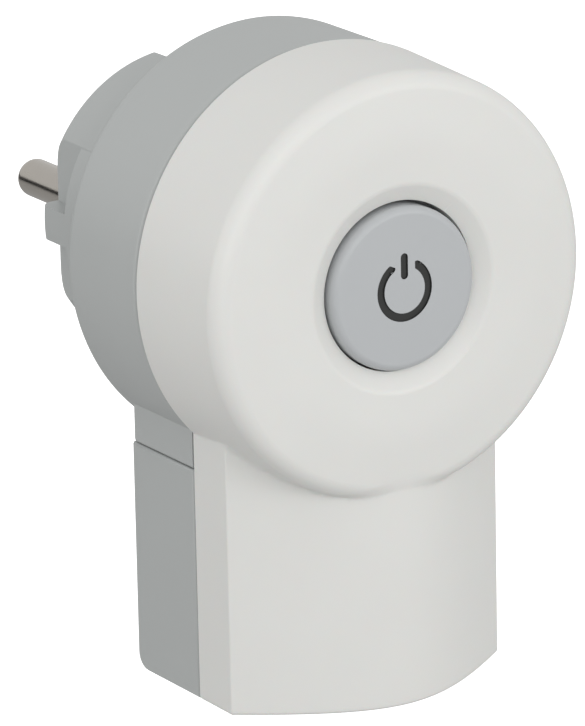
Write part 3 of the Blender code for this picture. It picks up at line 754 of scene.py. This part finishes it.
# %% Button cap
def make_button():
    face, back = cap_low.y, cap_high.y
    flange, inner, floor = cap_high.x, CAP_R - CAP_WALL, face + 1.9
    corners = [
        (0, face), (CAP_R, face, CAP_FILLET), (CAP_R, back - FLANGE_HEIGHT),
        (flange, back - FLANGE_HEIGHT, 0.2), (flange, back, 0.2), (inner, back), (inner, floor, 0.5),
        (0, floor),
    ]
    button = spun("button_face_cap", rounded(corners), steps=160)
    low, high = face - 1, face + SYMBOL_DEPTH
    cut(
        button,
        extruded("ring", symbol_ring(), low, high, "Y"),
        extruded("bar", stadium(BAR_LOW, BAR_HIGH, STROKE / 2), low, high, "Y"),
    )
    return button


# %% [markdown]
# ### The dark fill
#
# The symbol is printed dark. Its colour needs no picture: the shader reads how deep each point lies under
# the button's face and how far it is from the axis, and darkens what is both deep and inside the symbol.

# %% Dark fill
FILL_START, FILL_FULL, FILL_R, FILL_EDGE = 0.02, 0.05, 4.9, 5.0
FILL_COLOUR = (0.022, 0.023, 0.022, 1)


def paint_symbol(material):
    """Dark fill on everything below the button's face inside the symbol."""
    shader = material.node_tree.nodes["Principled BSDF"]
    face_colour = Term(shader.inputs["Base Color"].links[0].from_socket)
    place = Term(material.node_tree.nodes.new("ShaderNodeTexCoord").outputs["Object"])
    axes = place.node("ShaderNodeSeparateXYZ", (), {"Vector": place}).outputs
    low, high = cap_low.y + FILL_START, cap_low.y + FILL_FULL
    depth = Term(axes["Y"]).smooth_step(low * MM, high * MM)
    around = place.term("ShaderNodeCombineXYZ", (), {"X": Term(axes["X"]), "Z": Term(axes["Z"])})
    length = around.node("ShaderNodeVectorMath", {"operation": "LENGTH"}, {0: around})
    radius = Term(length.outputs["Value"])
    mask = depth * (1 - radius.smooth_step(FILL_R * MM, FILL_EDGE * MM))
    feed(shader, Base_Color=mask.mix_colour(face_colour, FILL_COLOUR))
    return material


button_plastic = paint_symbol(moulded_plastic("button_plastic", BUTTON_GREY, 0.4))
finish_piece(make_button(), button_plastic, "button", "button_plastic", "button_cap")

# %% [markdown]
# ## Metals
#
# The pins are turned brass rods with bright nickel on top, so their finish runs in fine rings round the
# axis, and the socket's contacts have drawn long soft scratches along them. The other metal parts are
# pressed or turned: zinc on steel, bare copper and bare brass.


# %% Turned metal
RING_WIDTH, RING_HEIGHT = 0.12 * MM, 1.2e-6
SCRATCH_WIDTH, SCRATCH_HEIGHT, FILM_SIZE = 0.25 * MM, 1.0e-6, 4 * MM


def stretched(place, scales):
    """The same position with each axis scaled, which stretches a noise pattern."""
    return place.term("ShaderNodeVectorMath", {"operation": "MULTIPLY"}, {0: place, 1: scales})


def turned_metal(name, colour, roughness, stain=0.04):
    """Bright plating over turning rings, with long handling scratches along Y."""
    material, shader, place = start_material(name)
    rings = stretched(place, (0.02, 1.0, 0.02)).noise(RING_WIDTH, 3.0, 0.7)
    streaks = stretched(place, (1.0, 0.04, 1.0)).noise(SCRATCH_WIDTH, 3.0, 0.6)
    scratches = streaks.smooth_step(0.55, 0.75)
    film = place.noise(FILM_SIZE, 3.0)
    tint = film.mix_colour(shade(colour, 1 - stain), shade(colour, 1 + stain))
    normal = rings.bump(RING_HEIGHT, scratches.bump(SCRATCH_HEIGHT))
    feed(shader, Base_Color=tint, Metallic=1.0, Normal=normal)
    feed(shader, Roughness=roughness + 0.08 * scratches + 0.05 * (film - 0.5))
    return material


# %% Pressed metal
SHEET_GRAIN, SHEET_GRAIN_HEIGHT, PATCH_SIZE = 0.2 * MM, 2e-6, 2.5 * MM


def pressed_metal(name, colour, roughness, stain=0.06):
    """Rolled or plated sheet: a fine grain, dull patches and a little tarnish."""
    material, shader, place = start_material(name)
    grain = stretched(place, (1.0, 1.0, 0.15)).noise(SHEET_GRAIN, 3.0, 0.6)
    patches = place.noise(PATCH_SIZE, 4.0, 0.6)
    tint = patches.mix_colour(shade(colour, 1 - stain), shade(colour, 1 + stain))
    feed(shader, Base_Color=tint, Metallic=1.0, Normal=grain.bump(SHEET_GRAIN_HEIGHT))
    feed(shader, Roughness=roughness - 0.06 + 0.12 * patches + 0.05 * grain)
    return material


# %% Metals and rubber
nickel = turned_metal("bright_nickel", (0.53, 0.50, 0.455), 0.2)
steel = pressed_metal("zinc_plated_steel", (0.58, 0.59, 0.61), 0.34)
copper = pressed_metal("rolled_copper", (0.74, 0.42, 0.27), 0.32)
brass = pressed_metal("machined_brass", (0.76, 0.58, 0.28), 0.3)
rubber = moulded_plastic("black_rubber", (0.022, 0.022, 0.023), 0.62, grain_height=4e-6, cloud=0.1)
print("metals:", nickel.name, steel.name, copper.name, brass.name)

# %% [markdown]
# ## Pins
#
# Each pin is one turning: a shank that holds it behind the plate, a collar, and the bright rod that enters
# the wall socket, with a well-rounded tip so that it finds its hole.

# %% Pins
PIN_R, PIN_TIP, PIN_SHANK_R = 2.4, 1.75, 1.8
PIN_COLLAR_R, PIN_COLLAR_BACK, PIN_COLLAR_FRONT = 3.4, -7.6, -6.1


def make_pin(node):
    low, high = box_mm(node)
    corners = [
        (0, low.y), (PIN_SHANK_R, low.y, 0.3), (PIN_SHANK_R, PIN_COLLAR_BACK),
        (PIN_COLLAR_R, PIN_COLLAR_BACK, 0.15), (PIN_COLLAR_R, PIN_COLLAR_FRONT, 0.15),
        (PIN_R, PIN_COLLAR_FRONT), (PIN_R, high.y, PIN_TIP), (0, high.y),
    ]
    pin = spun(node + "_turned", rounded(corners, steps=12), (middle(node).x, 0, 0), steps=96)
    finish_piece(pin, nickel, "housing", "nickel", node)


make_pin("line_pin")
make_pin("neutral_pin")

# %% [markdown]
# ## Earth contacts
#
# A strip bent like a U lies in the two grooves of the body, where the socket's side clips press on it. The
# sleeve behind the round hole takes the earth pin of the other kind of socket.


# %% Bent strip
def bent_strip(name, corners, thick, half_width):
    """A flat strip that follows rounded (y, z) corners, extruded along X with soft edges."""
    path = [Vector(point) for point in rounded(corners, steps=8)]
    runs = [(b - a).normalized() for a, b in zip(path, path[1:])]
    sides = [Vector((-run.y, run.x)) for run in runs]
    left, right = [], []
    for index, point in enumerate(path):
        before, after = sides[max(index - 1, 0)], sides[min(index, len(sides) - 1)]
        offset = (before + after) * (thick / 2) / (1 + before.dot(after))
        left.append(tuple(point + offset))
        right.append(tuple(point - offset))
    return extruded(name, left + right[::-1], -half_width, half_width, "X", edge=0.15)


# %% Earth strip and sleeve
STRIP_THICK, STRIP_BEND, SLEEVE_BORE = 0.8, 0.9, 3.1


def make_earth_strip():
    low, high = box_mm("earth_strip")
    reach, back = high.z - STRIP_THICK / 2, low.y + STRIP_THICK / 2
    corners = [(high.y, reach), (back, reach, STRIP_BEND), (back, -reach, STRIP_BEND), (high.y, -reach)]
    return bent_strip("earth_strip_bent", corners, STRIP_THICK, high.x)


def make_earth_sleeve():
    low, high = box_mm("earth_socket")
    inner, outer = SLEEVE_BORE, high.x
    corners = [(inner, low.y), (outer, low.y, 0.2), (outer, high.y, 0.3), (inner, high.y, 0.3)]
    outline = rounded(corners, closed=True)
    return spun("earth_sleeve", outline, (0, 0, middle("earth_socket").z), steps=64)


finish_piece(make_earth_strip(), nickel, "housing", "nickel", "earth_strip")
finish_piece(make_earth_sleeve(), nickel, "housing", "nickel", "earth_socket")

# %% [markdown]
# ## Screws
#
# The four case screws sit in pockets at the back. Only their heads show: a low dome with a cross recess
# punched into it.

# %% Screws
SCREW_HEAD, SCREW_SHANK_R, SCREW_TIP_R, SCREW_POINT = 1.7, 1.2, 0.4, 0.6
RECESS_ARM, RECESS_HALF, RECESS_DEPTH = 0.58, 0.12, 0.8


def make_screw(node):
    low, high = box_mm(node)
    centre = Vector((middle(node).x, 0, middle(node).z))
    head_r, under_head = high.x - centre.x, high.y - SCREW_HEAD
    corners = [
        (0, high.y), (head_r * 0.6, high.y - 0.12, 1.5), (head_r, high.y - SCREW_HEAD * 0.55, 0.5),
        (head_r, under_head, 0.1), (SCREW_SHANK_R, under_head), (SCREW_SHANK_R, low.y + SCREW_POINT),
        (SCREW_TIP_R, low.y), (0, low.y),
    ]
    screw = spun(node + "_turned", rounded(corners), centre, steps=48)
    arm, half = head_r * RECESS_ARM, head_r * RECESS_HALF
    for wide, tall in ((arm, half), (half, arm)):
        outline = [(-wide, -tall), (wide, -tall), (wide, tall), (-wide, tall)]
        shifted = [(centre.x + a, centre.z + b) for a, b in outline]
        cut(screw, extruded("recess", shifted, high.y - RECESS_DEPTH, high.y + 1, "Y"))
    finish_piece(screw, steel, "housing", "steel", node)


for side in ("left", "right"):
    make_screw("housing_screw_" + side)
    make_screw("neck_screw_" + side)

# %% [markdown]
# ## Cord bushing
#
# A soft ring lines the hole under the neck, with a flange inside that stops it from being pulled out.

# %% Cord bushing
CORD_BORE, SLEEVE_R, BUSHING_FLANGE = 3.9, 5.2, 1.0


def make_bushing():
    low, high = box_mm("cord_grommet")
    flange_r, under_flange = high.x, high.z - BUSHING_FLANGE
    corners = [
        (CORD_BORE, low.z, 0.4), (SLEEVE_R, low.z, 0.2), (SLEEVE_R, under_flange),
        (flange_r, under_flange, 0.3), (flange_r, high.z, 0.3), (CORD_BORE, high.z, 0.4),
    ]
    return spun("cord_bushing", rounded(corners, closed=True), (0, CORD_Y, 0), "Z", 96)


finish_piece(make_bushing(), rubber, "housing", "rubber", "cord_grommet")

# %% [markdown]
# ## Return spring
#
# A wound wire pushes the button out. A small circle is spun round the button's axis while it moves along
# it, which winds the coil. The spring shortens when the button goes in; the cell prints how much of its
# length it keeps then, but the coil itself rides on the housing and keeps its shape.

# %% Return spring
WIRE_R, WIRE_SIDES, COIL_TURNS, COIL_STEPS = 0.35, 12, 2.5, 120
press = next(j for j in frame["record"]["behaviour"]["joints"] if j["name"] == "button_press")
PRESS = press["range_m"][1] / MM


def make_spring():
    low, high = box_mm("return_spring")
    rise = high.y - low.y - 2 * WIRE_R
    start = Matrix.Translation(Vector((high.x - WIRE_R, low.y + WIRE_R, 0)) * MM)
    bm = bmesh.new()
    wire = bmesh.ops.create_circle(bm, segments=WIRE_SIDES, radius=WIRE_R * MM, matrix=start)
    bmesh.ops.spin(
        bm, geom=wire["verts"] + bm.edges[:], cent=(0, 0, 0), axis=(0, 1, 0), angle=math.tau * COIL_TURNS,
        dvec=(0, rise / COIL_STEPS * MM, 0), steps=COIL_STEPS,
    )
    bmesh.ops.holes_fill(bm, edges=[e for e in bm.edges if e.is_boundary], sides=WIRE_SIDES)
    coil = finish_piece(to_object("return_spring_coil", bm), steel, "housing", "steel", "return_spring")
    keep = 1 - PRESS / (high.y - low.y)
    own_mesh(coil)
    print("spring keeps", round(keep, 2), "of its", round(high.y - low.y, 1), "mm")


make_spring()

# %% [markdown]
# ## Inner pieces
#
# The switch, the terminals and the clamp stay as the mechanical model has them. They are seen only with
# the shells off, so each node takes the finish of its material, without a new mesh.

# %% Inner pieces
FINISHES = {
    "inner_plastic": dark_plastic, "steel": steel, "copper": copper, "brass": brass, "nickel": nickel,
}
dressed = 0
for part in frame["record"]["subparts"]:
    finish = FINISHES.get(part["material_slot"])
    node = frame["nodes"][part["node"]]
    if finish:
        node.data.materials.clear()
        node.data.materials.append(finish)
        dressed += 1
print("gave a finish to", dressed, "nodes")

# %% [markdown]
# ## Studio
#
# The plug stands in a white studio. The white sheet that is seen would throw too much light up from
# below, so a grey sheet just under it gives the bounce instead, and the white one lights nothing. A white
# surround fills the shadows, and four soft boxes shape the plastic. Polished metal shows only what it
# mirrors, so a black card beside the set draws the dark band along the pins.

# %% Sheets, card and lights
SKY, FLOOR_GLOW = 0.71, 0.7
SHEET_SIZE, FLOOR_DROP, BOUNCE_DROP = 6.0, 22, 23
CARD_WIDTH, CARD_HEIGHT, CARD_PLACE = 0.5, 0.22, (-0.26, 0.30, -0.10)
LIGHT_AIM = (0, -0.03, -0.01)
LIGHTS = {
    "front_high": ((-0.15, -0.85, 0.42), (0.35, 0.35), 1.07),
    "side_left": ((-0.8, 0.05, 0.15), (0.6, 0.8), 1.38),
    "front_right": ((0.5, -0.9, 0.1), (0.6, 0.8), 3.18),
    "close_left": ((-0.17, -0.20, 0.06), (0.10, 0.10), 0.055),
}


def area_light(name, place, size, watts):
    """A soft box of light at `place` that faces the plug."""
    data = bpy.data.lights.new(name, "AREA")
    data.shape = "RECTANGLE"
    data.size, data.size_y = size
    data.energy = watts
    lamp = bpy.data.objects.new(name, data)
    bpy.context.scene.collection.objects.link(lamp)
    lamp.location = place
    lamp.rotation_euler = (Vector(place) - Vector(LIGHT_AIM)).to_track_quat("Z", "Y").to_euler()


# %% Sheets of paper
def stage_plane(name, width, height, place, aim=None):
    """A flat sheet for the studio, centred at `place` and facing `aim`, or facing up."""
    bm = bmesh.new()
    bmesh.ops.create_grid(bm, x_segments=1, y_segments=1, size=0.5)
    bmesh.ops.scale(bm, vec=(width, height, 1), verts=bm.verts)
    turn = (Vector(aim) - Vector(place)).to_track_quat("Z", "Y").to_matrix() if aim else Matrix.Identity(3)
    bmesh.ops.transform(bm, matrix=Matrix.Translation(place) @ turn.to_4x4(), verts=bm.verts)
    sheet = to_object(name, bm)
    return sheet


def paper(name, low, high, size, roughness, glow=0.0):
    """A matt paper whose colour drifts a little between two greys."""
    material, shader, place = start_material(name)
    tint = place.noise(size).mix_colour((low, low, low, 1), (high, high, high, 1))
    feed(shader, Base_Color=tint, Roughness=roughness)
    shader.inputs["Emission Color"].default_value = (1, 1, 1, 1)
    shader.inputs["Emission Strength"].default_value = glow
    return material


# %% Floor and card
def make_floor():
    """The white sheet that is seen, and the grey one just under it that throws the bounce."""
    floor = stage_plane("studio_floor", SHEET_SIZE, SHEET_SIZE, (0, 0, (NECK_END - FLOOR_DROP) * MM))
    floor.data.materials.append(paper("floor_paper", 0.9, 0.93, 0.3, 0.8, FLOOR_GLOW))
    floor.visible_diffuse = False
    floor.visible_glossy = False
    floor.visible_shadow = False
    bounce = stage_plane("bounce_sheet", SHEET_SIZE, SHEET_SIZE, (0, 0, (NECK_END - BOUNCE_DROP) * MM))
    bounce.data.materials.append(paper("bounce_paper", 0.50, 0.52, 0.3, 0.8))
    bounce.visible_camera = False


def make_dark_card():
    """A black card beside the set, which the camera can't see but the pins mirror."""
    card = stage_plane("dark_card", CARD_WIDTH, CARD_HEIGHT, CARD_PLACE, (0, 0, 0))
    card.data.materials.append(paper("card_black", 0.010, 0.015, 0.1, 0.9))
    card.visible_camera = False


make_floor()
make_dark_card()
print("floor", FLOOR_DROP, "mm under the neck, card", CARD_WIDTH, "m wide")

# %% Surround and lights
world = bpy.data.worlds.new("studio")
bpy.context.scene.world = world
world.use_nodes = True
sky = world.node_tree.nodes["Background"]
sky.inputs["Color"].default_value = (1, 1, 1, 1)
sky.inputs["Strength"].default_value = SKY
bpy.context.scene.view_settings.view_transform = "Standard"
for name, (place, size, watts) in LIGHTS.items():
    area_light(name, place, size, watts)
print("lights:", ", ".join(LIGHTS))
